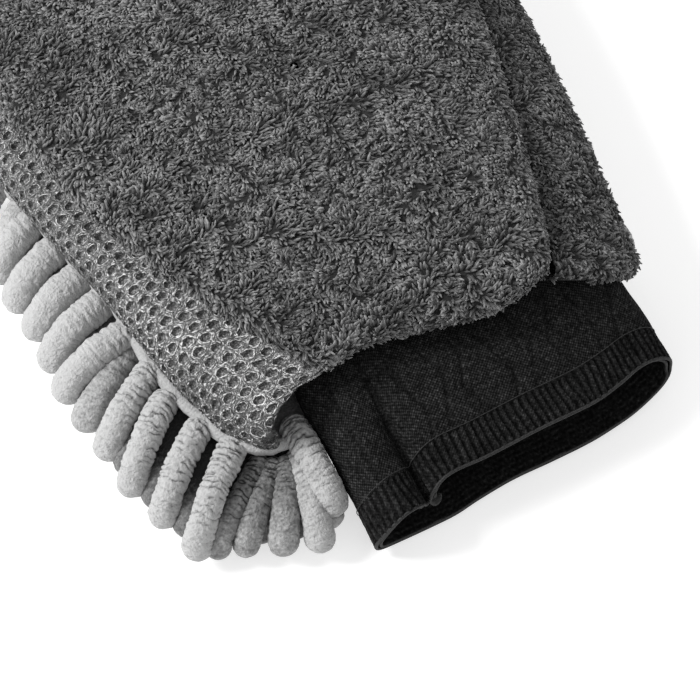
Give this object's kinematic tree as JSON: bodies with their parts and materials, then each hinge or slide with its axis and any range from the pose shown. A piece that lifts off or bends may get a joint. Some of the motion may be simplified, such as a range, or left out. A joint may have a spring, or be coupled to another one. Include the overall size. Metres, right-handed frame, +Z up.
{
  "type": "wash mitt",
  "caption": "Boxed wash mitt: fleece back and side, mesh side, chenille palm, lined hand pocket and a flexing knitted cuff.",
  "frame": {"origin": "under the middle of the bounding box, on the surface that the chenille lies on", "axes": "+Y from the cuff to the fingertips, +X from the mesh side to the fleece side, +Z up through the fleece back"},
  "size_m": [0.2007, 0.2594, 0.0554],
  "materials": {
    "fleece": "plush coral fleece, dark grey",
    "spacer_mesh": "open spacer mesh, mid grey",
    "chenille": "velvety chenille, light grey",
    "cuff_knit": "fine black knit",
    "lining": "smooth black woven lining",
    "thread": "black sewing thread",
    "elastic": "covered elastic"
  },
  "bodies": {
    "mitt_body": {"top_panel": "fleece", "fleece_side_panel": "fleece", "mesh_side_panel": "spacer_mesh", "chenille_base_cloth": "chenille", "back_lining": "lining", "palm_lining": "lining", "mesh_top_seam": "thread", "mesh_bottom_seam": "thread", "fleece_top_seam": "thread", "fleece_bottom_seam": "thread", "wrist_seam_allowance": "thread", "chenille_edge_mesh_side": "chenille", "chenille_edge_fleece_side": "chenille", "chenille_row_01": "chenille", "chenille_row_02": "chenille", "chenille_row_03": "chenille", "chenille_row_04": "chenille", "chenille_row_05": "chenille", "chenille_row_06": "chenille", "chenille_row_07": "chenille", "chenille_row_08": "chenille", "chenille_row_09": "chenille", "chenille_row_10": "chenille", "chenille_row_11": "chenille"},
    "cuff": {"cuff_outer_ply": "cuff_knit", "cuff_inner_ply": "cuff_knit", "cuff_elastic_band": "elastic", "cuff_rim_edge": "cuff_knit", "cuff_hem_stitching": "thread", "cuff_side_seam": "cuff_knit"}
  },
  "joints": [
    {"name": "cuff_flex", "type": "hinge", "parent": "mitt_body", "child": "cuff", "pos_m": [0.00372, -0.08669, 0.02592], "axis": [-1, 0, 0], "range_deg": [0, 32]}
  ]
}
